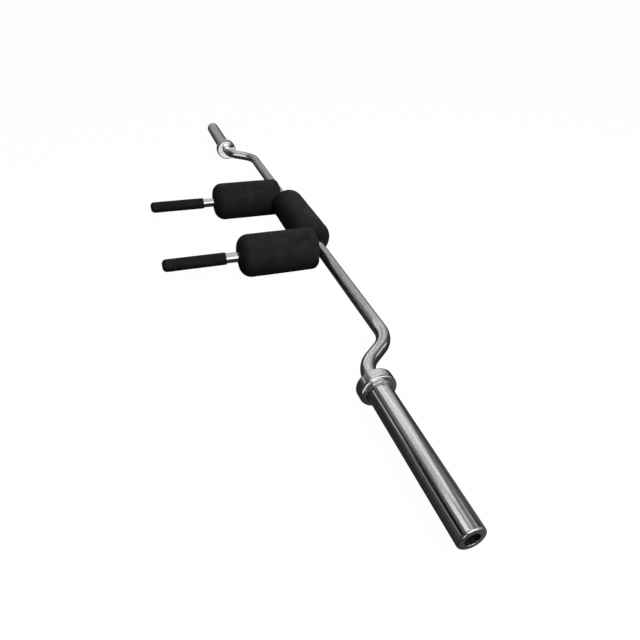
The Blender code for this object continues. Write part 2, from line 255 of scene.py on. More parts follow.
def turned(corners, steps, closed=True):
    """Spins an outline of (along, radius, rounding) corners about the X axis, and rounds its rings."""
    bm = bmesh.new()
    verts = [bm.verts.new((along, 0.0, radius)) for along, radius, _ in corners]
    pairs = list(zip(verts, verts[1:]))
    if closed:
        pairs.append((verts[-1], verts[0]))
    edges = [bm.edges.new(pair) for pair in pairs]
    bmesh.ops.spin(
        bm,
        geom=verts + edges,
        cent=(0.0, 0.0, 0.0),
        axis=X_AXIS,
        angle=2 * math.pi,
        steps=steps,
        use_merge=True,
    )
    bmesh.ops.remove_doubles(bm, verts=bm.verts, dist=MERGE)
    for along, radius, rounding in corners:
        if rounding > 0.0:
            ring = [e for e in bm.edges if all(on_ring(v, along, radius) for v in e.verts)]
            bmesh.ops.bevel(
                bm,
                geom=ring,
                offset=rounding,
                offset_type="OFFSET",
                segments=rounding_steps(rounding),
                affect="EDGES",
                profile=0.5,
                material=-1,
            )
    bmesh.ops.recalc_face_normals(bm, faces=bm.faces)
    return bm


def seat_on_sleeve(side, sign):
    """Turns local X outboard and puts the origin on the sleeve's axis, at the collar's inner face."""
    low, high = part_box(side + "_sleeve")
    inner = low.x if sign > 0 else high.x
    centre = middle(side + "_sleeve")
    turn = Matrix.Identity(4) if sign > 0 else Matrix.Rotation(math.pi, 4, "Z")
    return Matrix.Translation((inner, centre.y, centre.z)) @ turn


def reach_along(place, node):
    """Where a CAD node starts and ends outboard of a seat on a sleeve."""
    return sorted(abs(corner.x) - abs(place.translation.x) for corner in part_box(node))


def seat_on_handle(side, along=0.0):
    """Turns local X forward, along a handle, with its origin over the shaft's axis."""
    centre = middle(side + "_handle_tube")
    place = Matrix.Translation((centre.x, shaft_line()[0] - along, centre.z))
    return place @ Matrix.Rotation(-math.pi / 2, 4, "Z")


def shaft_line():
    """The Y and Z of the shaft's straight middle, and its camber."""
    radius = bpy.context.scene.bar_sizes.shaft_radius
    low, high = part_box("shaft")
    return high.y - radius, (low.z + high.z) / 2, high.y - low.y - 2 * radius


def feed(node, inputs):
    """Gives a node's inputs their values, or links them to other nodes' outputs."""
    for key, value in inputs.items():
        if isinstance(value, bpy.types.NodeSocket):
            node.id_data.links.new(value, node.inputs[key])
        else:
            node.inputs[key].default_value = value


def adder(tree):
    """A function that adds a shader node to a tree."""

    def add(kind, inputs=None, **settings):
        node = tree.nodes.new("ShaderNode" + kind)
        for key, value in settings.items():
            setattr(node, key, value)
        feed(node, inputs or {})
        return node

    return add


def new_material(name):
    """A material, its Principled shader, and a function that adds nodes to it."""
    material = bpy.data.materials.new(name)
    material.use_nodes = True
    return material, material.node_tree.nodes["Principled BSDF"], adder(material.node_tree)


def show(material, shader):
    """Puts a shader's output on a material's surface."""
    feed(material.node_tree.nodes["Material Output"], {"Surface": shader})


def coordinates(add):
    """Object coordinates."""
    return add("TexCoord").outputs["Object"]


def reckon(add, operation, *values, **settings):
    """The result of a Math node on values and other nodes' outputs."""
    return add("Math", dict(enumerate(values)), operation=operation, **settings).outputs["Value"]


def to_range(add, value, start, end, low=0.0, high=1.0, **settings):
    """Maps a value from one range to another, and stops at its ends."""
    inputs = {"Value": value, "From Min": start, "From Max": end, "To Min": low, "To Max": high}
    return add("MapRange", inputs, **settings).outputs["Result"]


def mixed(add, factor, first, second):
    """Passes from one colour to another as a factor goes from 0 to 1."""
    return add("Mix", {"Factor": factor, "A": first, "B": second}, data_type="RGBA").outputs["Result"]


def grain(add, centre, stretch, scale, detail=4.0, rough=0.55):
    """Noise on Object coordinates about a centre, stretched along X, Y and Z."""
    start = [-c * s for c, s in zip(centre, stretch)]
    place = add("Mapping", {"Vector": coordinates(add), "Location": start, "Scale": stretch})
    inputs = {"Vector": place.outputs["Vector"], "Scale": scale, "Detail": detail, "Roughness": rough}
    return add("TexNoise", inputs).outputs["Fac"]


def ramp(add, factor, low, high, width=0.4):
    """Maps a noise factor, which lies about 0.5, to a range."""
    return to_range(add, factor, 0.5 - width / 2, 0.5 + width / 2, low, high)


def bumps(add, height, depth):
    """A normal that rises and falls with a height."""
    return add("Bump", {"Height": height, "Distance": depth, "Strength": 1.0}).outputs["Normal"]


def steel(grey):
    """A grey with the slight blue of plated steel."""
    return (grey, grey, grey + 0.01)


def chrome(name, dark, light, smoothest, roughest, centre, stretch, line_depth, mottle=0.12):
    """Plated steel with fine lines drawn along the piece, fine mottling and cloudy patches of wear."""
    material, shader, add = new_material(name)
    lines = grain(add, centre, stretch, scale=1.0, detail=2.0, rough=0.6)
    specks = grain(add, centre, EVEN, scale=260.0, detail=2.0, rough=0.6)
    clouds = grain(add, centre, EVEN, scale=14.0, detail=3.0)
    sharp_lines = ramp(add, lines, 0.0, 1.0, width=0.16)
    sharp_specks = ramp(add, specks, 0.0, 1.0, width=0.16)
    wear = reckon(add, "MULTIPLY", sharp_specks, ramp(add, clouds, 0.35, 1.0))
    blend = add("Mix", {"Factor": mottle, "A": sharp_lines, "B": sharp_specks}, data_type="FLOAT")
    height = reckon(add, "MULTIPLY_ADD", specks, mottle * 0.3, lines)
    inputs = {
        "Base Color": mixed(add, blend.outputs["Result"], (*steel(dark), 1.0), (*steel(light), 1.0)),
        "Roughness": to_range(add, wear, 0.0, 1.0, smoothest, roughest),
        "Normal": bumps(add, height, line_depth),
        "Metallic": 1.0,
    }
    feed(shader, inputs)
    return material


def turned_face(name, colour, roughness, centre, pitch, depth, metal=1.0):
    """Metal with the rings that a lathe leaves about an axis along X."""
    material, shader, add = new_material(name)
    place = add("Mapping", {"Vector": coordinates(add), "Location": [-c for c in centre]})
    rings = add(
        "TexWave",
        {"Vector": place.outputs["Vector"], "Scale": WAVE_LENGTH / pitch, "Distortion": 0.6, "Detail": 2.0},
        wave_type="RINGS",
        rings_direction="X",
    )
    clouds = grain(add, centre, EVEN, scale=60.0)
    dark = [c * 0.75 for c in colour]
    inputs = {
        "Base Color": mixed(add, ramp(add, clouds, 0.0, 1.0), (*dark, 1.0), (*colour, 1.0)),
        "Roughness": ramp(add, clouds, roughness * 0.8, roughness * 1.3),
        "Normal": bumps(add, rings.outputs["Fac"], depth),
        "Metallic": metal,
    }
    feed(shader, inputs)
    return material


def skin(name, dark, light, roughest, smoothest, pebble, depth, gloss):
    """A black moulded or coated skin: pebbled, mottled and unevenly matt."""
    material, shader, add = new_material(name)
    size = {"Vector": coordinates(add), "Scale": 1.0 / pebble, "Smoothness": 0.6}
    pebbles = add("TexVoronoi", size, feature="SMOOTH_F1")
    mottle = grain(add, (0.0, 0.0, 0.0), EVEN, scale=38.0, detail=5.0, rough=0.6)
    specks = grain(add, (0.0, 0.0, 0.0), EVEN, scale=380.0, detail=2.0, rough=0.5)
    patches = ramp(add, mottle, 0.0, 0.5)
    blend = reckon(add, "ADD", patches, ramp(add, specks, 0.0, 0.55), use_clamp=True)
    inputs = {
        "Base Color": mixed(add, blend, (*dark, 1.0), (*light, 1.0)),
        "Roughness": ramp(add, mottle, roughest, smoothest),
        "Normal": bumps(add, reckon(add, "ADD", pebbles.outputs["Distance"], specks), depth),
        "Specular IOR Level": gloss,
    }
    feed(shader, inputs)
    return material


def ring_verts(ring):
    """The vertices of a ring of edges."""
    return list({v for e in ring for v in e.verts})


def extrude_ring(bm, ring, offset):
    """Carries a ring of edges by an offset and leaves faces behind it."""
    grown = bmesh.ops.extrude_edge_only(bm, edges=ring)["geom"]
    ring = [g for g in grown if isinstance(g, bmesh.types.BMEdge) and g.is_boundary]
    bmesh.ops.translate(bm, verts=ring_verts(ring), vec=offset)
    return ring


class Sweep:
    """A ring of edges that is carried along a route."""

    def __init__(self, centre, radius, sides):
        self.bm = bmesh.new()
        place = Matrix.Translation(centre) @ Matrix.Rotation(math.pi / 2, 4, "Y")
        bmesh.ops.create_circle(self.bm, segments=sides, radius=radius, matrix=place)
        self.ring = list(self.bm.edges)
        self.centre = Vector(centre)

    def extrude(self, offset):
        """Carries the ring straight on."""
        self.ring = extrude_ring(self.bm, self.ring, offset)
        self.centre += Vector(offset)

    def bend(self, centre, turn, steps):
        """Carries the ring round a centre, about Z."""
        geom = ring_verts(self.ring) + self.ring
        spun = bmesh.ops.spin(self.bm, geom=geom, cent=centre, axis=Z_AXIS, angle=turn, steps=steps)
        self.ring = [g for g in spun["geom_last"] if isinstance(g, bmesh.types.BMEdge)]
        away = Matrix.Translation(-Vector(centre))
        self.centre = Matrix.Translation(centre) @ Matrix.Rotation(turn, 4, "Z") @ away @ self.centre

    def resize(self, radius):
        """Steps the ring in or out in its own plane, across X."""
        self.extrude((0.0, 0.0, 0.0))
        ring = ring_verts(self.ring)
        share = radius / math.hypot(ring[0].co.y - self.centre.y, ring[0].co.z - self.centre.z)
        about = Matrix.Translation(-self.centre)
        bmesh.ops.scale(self.bm, verts=ring, vec=(1.0, share, share), space=about)


class BARBELL_OT_shaft(Operator):
    """Bends the shaft at both ends and turns its journals"""

    bl_idname = "barbell.shaft"
    bl_label = "Shaft"

    def execute(self, context):
        sizes = context.scene.bar_sizes
        y, z, camber = shaft_line()
        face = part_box("left_sleeve")[0].x
        turn, radius = sizes.camber_angle, sizes.bend_radius
        slope = (camber - 2 * radius * (1 - math.cos(turn))) / math.sin(turn)
        run = 2 * radius * math.sin(turn) + slope * math.cos(turn)
        knee = face - sizes.lead_to_collar - run
        sweep = Sweep((0.0, y, z), sizes.shaft_radius, SHAFT_SIDES)
        for _ in range(STRAIGHT_STEPS):
            sweep.extrude((knee / STRAIGHT_STEPS, 0.0, 0.0))
        sweep.bend((knee, y - radius, z), -turn, BEND_STEPS)
        sweep.extrude((slope * math.cos(turn), -slope * math.sin(turn), 0.0))
        elbow = sweep.centre + radius * Vector((math.sin(turn), math.cos(turn), 0.0))
        sweep.bend(elbow, turn, BEND_STEPS)
        sweep.extrude((face - sweep.centre.x, 0.0, 0.0))
        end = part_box("left_retaining_washer")[0].x - sizes.gap
        outer_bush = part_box("left_outer_bush")[0].x
        sweep.resize(sizes.journal_radius)
        sweep.extrude((outer_bush - STEP_BEFORE_BUSH - face, 0.0, 0.0))
        sweep.resize(sizes.outer_journal_radius)
        sweep.extrude((end - sweep.centre.x, 0.0, 0.0))
        sweep.resize(BOLT_HOLE_RADIUS)
        sweep.extrude((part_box("left_end_bolt")[0].x - TAPPED_DEEPER - end, 0.0, 0.0))
        bm = sweep.bm
        bmesh.ops.contextual_create(bm, geom=sweep.ring)
        half = bm.verts[:] + bm.edges[:] + bm.faces[:]
        bmesh.ops.mirror(bm, geom=half, axis="X", merge_dist=NEAR)
        bmesh.ops.remove_doubles(bm, verts=bm.verts, dist=MERGE)
        bmesh.ops.recalc_face_normals(bm, faces=bm.faces)
        finish = chrome(
            "satin_chrome", dark=0.42, light=0.70, smoothest=0.14, roughest=0.26,
            centre=(0.0, y, z), stretch=(60.0, 300.0, 300.0), line_depth=0.00001, mottle=0.6,
        )
        piece = finish_piece(bm, "bent_shaft", "bar", [finish])
        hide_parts("shaft")
        return {"FINISHED"}


class BARBELL_OT_sleeves(Operator):
    """Turns the two sleeves that carry the plates"""

    bl_idname = "barbell.sleeves"
    bl_label = "Sleeves"

    def execute(self, context):
        sizes = context.scene.bar_sizes
        centre = middle("left_sleeve")
        outside = chrome(
            "polished_chrome", dark=0.46, light=0.78, smoothest=0.05, roughest=0.11,
            centre=centre, stretch=(6.0, 220.0, 220.0), line_depth=0.00005, mottle=0.3,
        )
        face = turned_face("turned_end", steel(0.52), 0.24, centre, pitch=0.0004, depth=0.000006)
        # Painted shade: the bore and the step of the end hole are painted near black for the deep hole's
        # shade
        bore = turned_face("bore_painted_shade", (0.09, 0.09, 0.09), 0.50, centre, pitch=0.0006, depth=0.000004)
        # Painted light: the sleeve's inboard face is painted near white, brighter than the rest of its
        # chrome
        back = turned_face("sleeve_back_painted_light", steel(0.94), 0.10, centre, pitch=0.0007, depth=0.000001)
        finishes = [outside, face, bore, back]
        for side, sign in SIDES:
            radius = span(side + "_sleeve").z / 2
            end = span(side + "_sleeve").x
            hole = end - sizes.end_hole_depth
            outline = [
                (0.0, sizes.sleeve_bore, 0.0004),
                (hole, sizes.sleeve_bore, 0.0),
                (hole, sizes.end_hole_radius, 0.0003),
                (end, sizes.end_hole_radius, 0.001),
                (end, radius, sizes.sleeve_edge),
                (0.0, radius, 0.0004),
            ]
            bm = turned(outline, LARGE_SIDES)
            # The back, the bore with its step, and the flat of the end are told by a face's middle
            for f in bm.faces:
                at = f.calc_center_median()
                out = math.hypot(at.y, at.z)
                if at.x < 0.0003:
                    f.material_index = finishes.index(back)
                elif out < sizes.end_hole_radius + 0.0002 or at.x < hole + 0.001 and out < radius - 0.001:
                    f.material_index = finishes.index(bore)
                elif at.x > end - 0.0001 and out < radius - sizes.sleeve_edge:
                    f.material_index = finishes.index(face)
            bm.transform(seat_on_sleeve(side, sign))
            body = side + "_plate_carrier"
            piece = finish_piece(bm, side + "_sleeve_tube", body, finishes, 30)
            even_shading(piece)
            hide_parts(side + "_sleeve")
        return {"FINISHED"}


class BARBELL_OT_collars(Operator):
    """Turns the two flanges and lays the weld that joins each to its sleeve"""

    bl_idname = "barbell.collars"
    bl_label = "Collars and welds"

    def execute(self, context):
        sizes = context.scene.bar_sizes
        centre = middle("left_sleeve")
        rings = {"centre": centre, "pitch": 0.0007, "depth": 0.000001}
        flat = turned_face("collar_face", steel(0.62), 0.20, centre, pitch=0.0005, depth=0.000001)
        # Painted light: the collar's inboard face is painted near white, brighter than its outboard face
        back = turned_face("collar_back_painted_light", steel(0.94), 0.08, **rings)
        # Painted highlight: the sloping face is painted near white and partly matt, so the softbox draws a
        # bright crescent on it
        bevel = turned_face("collar_bevel_painted_highlight", steel(0.92), 0.16, metal=0.88, **rings)
        # Painted shade: the inner rounding is painted dark grey, a dark outline round the rim
        lip = turned_face("collar_lip_painted_shade", (0.16, 0.16, 0.165), 0.20, **rings)
        rim = chrome(
            "collar_rim", dark=0.58, light=0.66, smoothest=0.08, roughest=0.20,
            centre=centre, stretch=(380.0, 12.0, 12.0), line_depth=0.000005,
        )
        bead = chrome(
            "plated_weld", dark=0.30, light=0.84, smoothest=0.18, roughest=0.36,
            centre=centre, stretch=(300.0, 300.0, 300.0), line_depth=0.00003,
        )
        finishes = [flat, rim, back, bevel, lip]
        for side, sign in SIDES:
            bore = span(side + "_sleeve").z / 2 + sizes.gap
            radius = span(side + "_collar").z / 2
            width = sizes.collar_width
            drop = (radius - sizes.bevel_radius) * math.tan(sizes.bevel_angle)
            outline = [
                (0.0, bore, 0.0003),
                (width, bore, 0.0),
                (width, sizes.bevel_radius, 0.0),
                (width - drop, radius, sizes.collar_outer_edge),
                (0.0, radius, sizes.collar_inner_edge),
            ]
            bm = turned(outline, LARGE_SIDES)
            for f in bm.faces:
                f.material_index = finishes.index(self.finish_for(f.normal.x, *finishes))
            place = seat_on_sleeve(side, sign)
            bm.transform(place)
            body = side + "_plate_carrier"
            piece = finish_piece(bm, side + "_collar_flange", body, finishes, 30)
            even_shading(piece)
            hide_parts(side + "_collar")
            bm = self.weld(sizes, width, bore)
            bm.transform(place)
            finish_piece(bm, side + "_collar_weld", body, [bead], 60)
        return {"FINISHED"}

    def finish_for(self, lean, flat, rim, back, bevel, lip):
        """The finish of a face, by how far it leans outboard, from 1, fully outboard, to -1. The back and
        the bevel get finishes painted lighter, as painted light, and the inner lip one painted darker, as
        painted shade.
        """
        if lean > 0.999:
            return flat
        if lean > 0.94:
            return bevel
        if lean < -0.999:
            return back
        return lip if lean < -0.5 else rim

    def weld(self, sizes, face, bore):
        """A fillet whose ripples follow one another round the sleeve."""
        leg = sizes.weld_size
        outline = [
            (face + 0.0001, bore, 0.0),
            (face + leg, bore, 0.0),
            (face + leg * 0.55, bore + leg * 0.55, 0.0),
            (face + 0.0001, bore + leg, 0.0),
        ]
        bm = turned(outline, 6 * sizes.weld_beads)
        for v in bm.verts:
            out = math.hypot(v.co.y, v.co.z)
            reach = max(v.co.x - face, out - bore)
            if reach > leg * 0.4:
                turn = math.atan2(v.co.z, v.co.y) * sizes.weld_beads
                ripple = abs(math.sin(turn / 2 + 0.6 * reach / leg))
                patch = min(max(0.5 + 2.2 * noise.noise(v.co * 26.0), 0.12), 1.0)
                uneven = noise.noise(v.co * 90.0)
                grow = 0.72 + 0.46 * patch * ripple + 0.08 * uneven
                v.co.x = face + (v.co.x - face) * grow
                share = (bore + (out - bore) * grow) / out
                v.co.y *= share
                v.co.z *= share
        return bm


class BARBELL_OT_bearings(Operator):
    """Finishes the bushes and washers inside the sleeves"""

    bl_idname = "barbell.bearings"
    bl_label = "Bearings"

    def execute(self, context):
        centre = middle("left_sleeve")
        cast = (0.55, 0.36, 0.16)
        bronze = turned_face("sintered_bronze", cast, 0.38, centre, pitch=0.0008, depth=0.00002)
        # Partly painted light: the thrust washer's pale zinc is raised to a near-white, partly matt grey to
        # match the bright collar face beside it
        zinc = turned_face("zinc_washer_with_painted_light", steel(0.80), 0.36, centre, pitch=0.0006, depth=0.00001, metal=0.3)
        finishes = {"_inner_bush": bronze, "_outer_bush": bronze, "_thrust_washer": zinc}
        for side, _ in SIDES:
            for name, finish in finishes.items():
                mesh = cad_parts[side + name].data
                mesh.materials.clear()
                mesh.materials.append(finish)
        return {"FINISHED"}


class BARBELL_OT_end_bolts(Operator):
    """Makes the washers and socket-head bolts deep in the sleeves' ends"""

    bl_idname = "barbell.end_bolts"
    bl_label = "End bolts"

    def execute(self, context):
        sizes = context.scene.bar_sizes
        centre = middle("left_end_bolt")
        bolt_zinc = turned_face("zinc_bolt", steel(0.50), 0.30, centre, pitch=0.0005, depth=0.00001)
        washer_zinc = turned_face("zinc_retainer", steel(0.44), 0.36, centre, pitch=0.0007, depth=0.00001)
        for side, sign in SIDES:
            place = seat_on_sleeve(side, sign)
            near, far = reach_along(place, side + "_retaining_washer")
            low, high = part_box(side + "_retaining_washer")
            outer = (high.z - low.z) / 2
            outline = [
                (near, BOLT_HOLE_RADIUS, 0.0),
                (far, BOLT_HOLE_RADIUS, 0.0002),
                (far, outer, 0.0004),
                (near, outer, 0.0002),
            ]
            bm = turned(outline, SMALL_SIDES)
            bm.transform(place)
            washer = finish_piece(bm, side + "_end_washer", "bar", [washer_zinc])
            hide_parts(side + "_retaining_washer")
            foot, top = reach_along(place, side + "_end_bolt")
            seat = top - sizes.bolt_head_height
            outline = [
                (foot, 0.0, 0.0),
                (foot, BOLT_RADIUS, 0.0005),
                (seat, BOLT_RADIUS, 0.0),
                (seat, sizes.bolt_head_radius, 0.0002),
                (top, sizes.bolt_head_radius, 0.0008),
                (top, sizes.hex_radius, 0.0),
            ]
            bm = turned(outline, SMALL_SIDES, closed=False)
            self.socket(bm, sizes)
            bm.transform(place)
            bolt = finish_piece(bm, side + "_socket_bolt", "bar", [bolt_zinc])
            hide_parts(side + "_end_bolt")
        return {"FINISHED"}

    def socket(self, bm, sizes):
        """Draws the ring at the head's middle in to a hexagon and sinks it."""
        rim = [e for e in bm.edges if e.is_boundary]
        for v in ring_verts(rim):
            turn = math.atan2(v.co.z, v.co.y)
            off = (turn + math.pi / 6) % (math.pi / 3) - math.pi / 6
            flat = sizes.hex_radius * math.cos(math.pi / 6) / math.cos(off)
            share = flat / math.hypot(v.co.y, v.co.z)
            v.co.y *= share
            v.co.z *= share
        floor = extrude_ring(bm, rim, (-sizes.hex_depth, 0.0, 0.0))
        bmesh.ops.contextual_create(bm, geom=floor)
        bmesh.ops.recalc_face_normals(bm, faces=bm.faces)


class BARBELL_OT_handles(Operator):
    """Makes the two plated tubes, coped to the shaft"""

    bl_idname = "barbell.handles"
    bl_label = "Handle tubes"

    def execute(self, context):
        sizes = context.scene.bar_sizes
        y, z, _ = shaft_line()
        shaft_room = sizes.shaft_radius + sizes.gap
        for side, _ in SIDES:
            low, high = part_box(side + "_handle_tube")
            centre = middle(side + "_handle_tube")
            finish = chrome(
                side + "_handle_chrome", dark=0.62, light=0.78, smoothest=0.10, roughest=0.20,
                centre=centre, stretch=(300.0, 14.0, 300.0), line_depth=0.000006,
            )
            radius = (high.x - low.x) / 2
            bore = radius - sizes.tube_wall
            tip = y - low.y
            outline = [(0.0, bore, 0.0), (tip, bore, 0.0003), (tip, radius, 0.0005), (0.0, radius, 0.0)]
            bm = turned(outline, SMALL_SIDES)
            for v in bm.verts:
                if v.co.x < 0.001:
                    off = centre.z - z + v.co.z
                    v.co.x = math.sqrt(max(shaft_room**2 - off**2, 0.0))
            bm.transform(seat_on_handle(side))
            tube = finish_piece(bm, side + "_plated_tube", "bar", [finish])
            even_shading(tube)
            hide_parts(side + "_handle_tube")
        return {"FINISHED"}


class BARBELL_OT_grips(Operator):
    """Makes the two rubber grips, closed at their tips"""

    bl_idname = "barbell.grips"
    bl_label = "Grips"

    def execute(self, context):
        sizes = context.scene.bar_sizes
        y = shaft_line()[0]
        rubber = skin(
            "grip_rubber", dark=(0.004, 0.004, 0.005), light=(0.014, 0.014, 0.015),
            roughest=0.78, smoothest=0.55, pebble=0.0011, depth=0.00006, gloss=0.14,
        )
        for side, _ in SIDES:
            low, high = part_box(side + "_grip")
            radius = (high.x - low.x) / 2
            root, tip = y - high.y, y - low.y
            low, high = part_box(side + "_handle_tube")
            bore = (high.x - low.x) / 2 + sizes.gap
            floor = y - low.y + sizes.gap
            outline = [
                (tip, 0.0, 0.0),
                (tip, radius, sizes.grip_tip),
                (root, radius, sizes.grip_root),
                (root, bore, 0.0004),
                (floor, bore, 0.0),
                (floor, 0.0, 0.0),
            ]
            bm = turned(outline, SMALL_SIDES, closed=False)
            bm.transform(seat_on_handle(side))
            grip = finish_piece(bm, side + "_rubber_grip", "bar", [rubber], 40)
            even_shading(grip)
            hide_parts(side + "_grip")
        return {"FINISHED"}


def pad_roll(end, radius, bore, first_rounding, last_rounding):
    """A fine roll of foam along local X with a hole through it, its faces a few millimetres across."""
    outline = [
        (0.0, bore, 0.002),
        (end, bore, 0.002),
        (end, radius, last_rounding),
        (0.0, radius, first_rounding),
    ]
    bm = turned(outline, SMALL_SIDES)
    for step in range(1, PAD_STEPS):
        bmesh.ops.bisect_plane(
            bm,
            geom=bm.verts[:] + bm.edges[:] + bm.faces[:],
            dist=MERGE,
            plane_co=(end * step / PAD_STEPS, 0.0, 0.0),
            plane_no=X_AXIS,
        )
    bm.normal_update()
    return bm


def wander(bm, amount, seed):
    """Lets the surface rise and fall a little, in broad soft patches."""
    shift = Vector((seed * 3.1, seed * 7.7, seed * 1.3))
    for v in bm.verts:
        broad = noise.noise(v.co * 17.0 + shift)
        fine = noise.noise(v.co * 52.0 - shift)
        v.co += v.normal * amount * (broad + 0.35 * fine)


def press_line(points, through, axis, radius, softness):
    """Pushes points out of a round bar, softly at the dent's lip."""
    for co in points:
        off = co - through
        off -= off.dot(axis) * axis
        far = off.length
        if 1e-9 < far < radius + PRESS_REACH:
            want = 0.5 * (far + radius + math.hypot(far - radius, softness))
            co += off * (want / far - 1.0)


def press_roll(points, centre, half, radius, rounding, softness):
    """Pushes points out of a rounded roll that lies along Y."""
    for co in points:
        off = co - centre
        across = Vector((off.x, 0.0, off.z))
        out = across.length
        side = out - (radius - rounding)
        end = abs(off.y) - (half - rounding)
        if side > 0.0 and end > 0.0:
            depth = math.hypot(side, end) - rounding
            push = across.normalized() * side + Vector((0.0, math.copysign(end, off.y), 0.0))
        elif side > end:
            depth = side - rounding
            push = across
        else:
            depth = end - rounding
            push = Vector((0.0, off.y, 0.0))
        if depth < PRESS_REACH and push.length > 1e-9:
            want = 0.5 * (depth + math.hypot(depth, softness))
            co += push.normalized() * (want - depth)


def swell(piece, pressure, reach):
    """Fills a pad's skin from inside, and stops each point that would go further than its reach."""
    scene = bpy.context.scene
    cloth = piece.modifiers.new("Swell", "CLOTH")
    settings = cloth.settings
    settings.quality = 5
    settings.mass = 0.3
    settings.tension_stiffness = 15.0
    settings.compression_stiffness = 15.0
    settings.bending_stiffness = 3.0
    settings.use_pressure = True
    settings.uniform_pressure_force = pressure
    settings.effector_weights.gravity = 0.0
    cloth.point_cache.frame_start = 1
    cloth.point_cache.frame_end = 20
    for step in range(1, 21):
        scene.frame_set(step)
    graph = bpy.context.evaluated_depsgraph_get()
    swollen = [v.co.copy() for v in piece.evaluated_get(graph).data.vertices]
    piece.modifiers.remove(cloth)
    scene.frame_set(1)
    for v, to in zip(piece.data.vertices, swollen):
        move = to - v.co
        if move.length > reach:
            move *= reach / move.length
        v.co += move


class BARBELL_OT_pads(Operator):
    """Fills the two shoulder pads and the neck pad, and seats them on their tubes"""

    bl_idname = "barbell.pads"
    bl_label = "Foam pads"

    def execute(self, context):
        sizes = context.scene.bar_sizes
        pads = context.scene.pad_sizes
        y, z, _ = shaft_line()
        shaft_middle = Vector((0.0, y, z))
        shaft_room = sizes.shaft_radius + SHAFT_CLEARANCE
        cover = skin(
            "pad_skin", dark=(0.006, 0.006, 0.007), light=(0.020, 0.020, 0.022),
            roughest=0.70, smoothest=0.50, pebble=0.0016, depth=0.00015, gloss=0.09,
        )
        swell_room = 0.5 * pads.reach
        rolls = {}
        for seed, (side, _) in enumerate(SIDES, 1):
            low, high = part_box(side + "_shoulder_cover")
            centre = middle(side + "_handle_tube")
            at = Vector((centre.x, (low.y + high.y) / 2, centre.z))
            half, radius = (high.y - low.y) / 2, (high.x - low.x) / 2
            rolls[side] = (at, half, radius)
            bore = span(side + "_handle_tube").x / 2 + pads.opening
            inside = bore + BORE_CLEARANCE
            roundings = (pads.rear_rounding, pads.front_rounding)
            bm = pad_roll(2 * half - 2 * swell_room, radius - swell_room, inside, *roundings)
            wander(bm, pads.unevenness, seed)
            bm.transform(seat_on_handle(side, y - (at.y + half - swell_room)))

            def seat(points, soft, at=at, bore=bore):
                press_line(points, at, Y_AXIS, bore, 0.0)
                press_line(points, shaft_middle, X_AXIS, shaft_room, soft)
                for co in points:
                    co.z = max(co.z, FLOOR_CLEARANCE)

            piece = self.upholster(bm, side + "_shoulder_pad", seat, cover, pads)
            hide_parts(side + "_shoulder_cover", side + "_shoulder_foam")
        radius = span("neck_cover").z / 2
        bore = sizes.shaft_radius + pads.opening
        inside = bore + BORE_CLEARANCE
        roundings = (pads.neck_rounding, pads.neck_rounding)
        bm = pad_roll(pads.neck_length - 2 * swell_room, radius - swell_room, inside, *roundings)
        wander(bm, pads.unevenness, 5)
        bm.transform(Matrix.Translation((-pads.neck_length / 2 + swell_room, y, z)))

        def seat_neck(points, soft):
            press_line(points, shaft_middle, X_AXIS, bore, 0.0)
            for at, half, roll in rolls.values():
                room = (half + PAD_CLEARANCE, roll + PAD_CLEARANCE)
                press_roll(points, at, *room, pads.rear_rounding, soft)

        piece = self.upholster(bm, "neck_pad", seat_neck, cover, pads)
        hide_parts("neck_cover", "neck_foam")
        return {"FINISHED"}

    def upholster(self, bm, name, seat, cover, pads):
        """Presses the roll against its neighbours, fills it and smooths it."""
        seat([v.co for v in bm.verts], SOFT_LIP)
        bmesh.ops.recalc_face_normals(bm, faces=bm.faces)
        piece = finish_piece(bm, name, "bar", [cover], 180)
        swell(piece, pads.pressure, pads.reach)
        seat([v.co for v in piece.data.vertices], CRISP_LIP)
        piece.data.update()
        finer = piece.modifiers.new("Finer", "SUBSURF")
        finer.levels = 1
        finer.render_levels = 1
        return piece


# The direction of the camber's slanting leg
LEG_AXIS = Vector((0.702, -0.712, 0.0))

# Small white glowing cards that put painted highlights in the chrome: name, glow, centre, the directions of
# width and height, width, height
CARDS = (
    ("collar_card_low", 0.95, (-0.735, 0.14, 0.0185), Z_AXIS, Y_AXIS, 0.037, 0.14),
    ("collar_card", 0.95, (-0.66, 0.12, 0.0395), Z_AXIS, Y_AXIS, 0.053, 0.11),
    ("far_camber_card", 1.3, (-0.62, 0.0, 0.125), Z_AXIS, X_AXIS, 0.15, 0.07),
    ("camber_card", 0.95, (0.56, 0.114, 0.16), Y_AXIS, Z_AXIS, 0.128, 0.16),
    ("streak_card", 2.2, (0.676, 0.1765, 0.0733), LEG_AXIS, Z_AXIS, 0.05, 0.0038),
    ("bevel_card", 1.3, (0.84, 0.0645, 0.0485), Z_AXIS, Y_AXIS, 0.073, 0.025),
    ("end_card", 1.3, (1.16, 0.08, 0.0525), Z_AXIS, Y_AXIS, 0.035, 0.02),
)

# The dark sheet's brightness at places along X, and past the left collar at places along Y; it is lowest
# near the bar, a painted shadow in the reflection
SHEET_ALONG = (
    (-8.0, 0.24), (-2.4, 0.14), (-1.2, 0.06), (-0.7, 0.04), (0.0, 0.03), (0.45, 0.04), (0.75, 0.035),
)
SHEET_ACROSS = (
    (-1.2, 0.05), (-0.35, 0.08), (-0.17, 0.085), (-0.05, 0.04), (0.07, 0.03), (0.15, 0.12), (0.5, 0.13),
    (1.5, 0.07),
)

# The grey flag's brightness at heights, on its inner and its outer part
FLAG_INNER = ((0.0, 0.09), (0.35, 0.12), (0.6, 0.24), (0.9, 0.26), (2.0, 0.26))
FLAG_OUTER = (
    (0.0, 0.09), (0.22, 0.09), (0.3, 0.03), (0.57, 0.03), (0.62, 0.45), (0.7, 0.5), (0.75, 0.24),
    (0.82, 0.2), (2.0, 0.24),
)

# The dome's brightness at degrees from the horizon behind the bar, by overhead, to the one in front
DOME_FAR_END = ((0, 0.4), (35, 0.7), (45, 1.0), (80, 1.0), (100, 0.4), (130, 0.03), (180, 0.03))

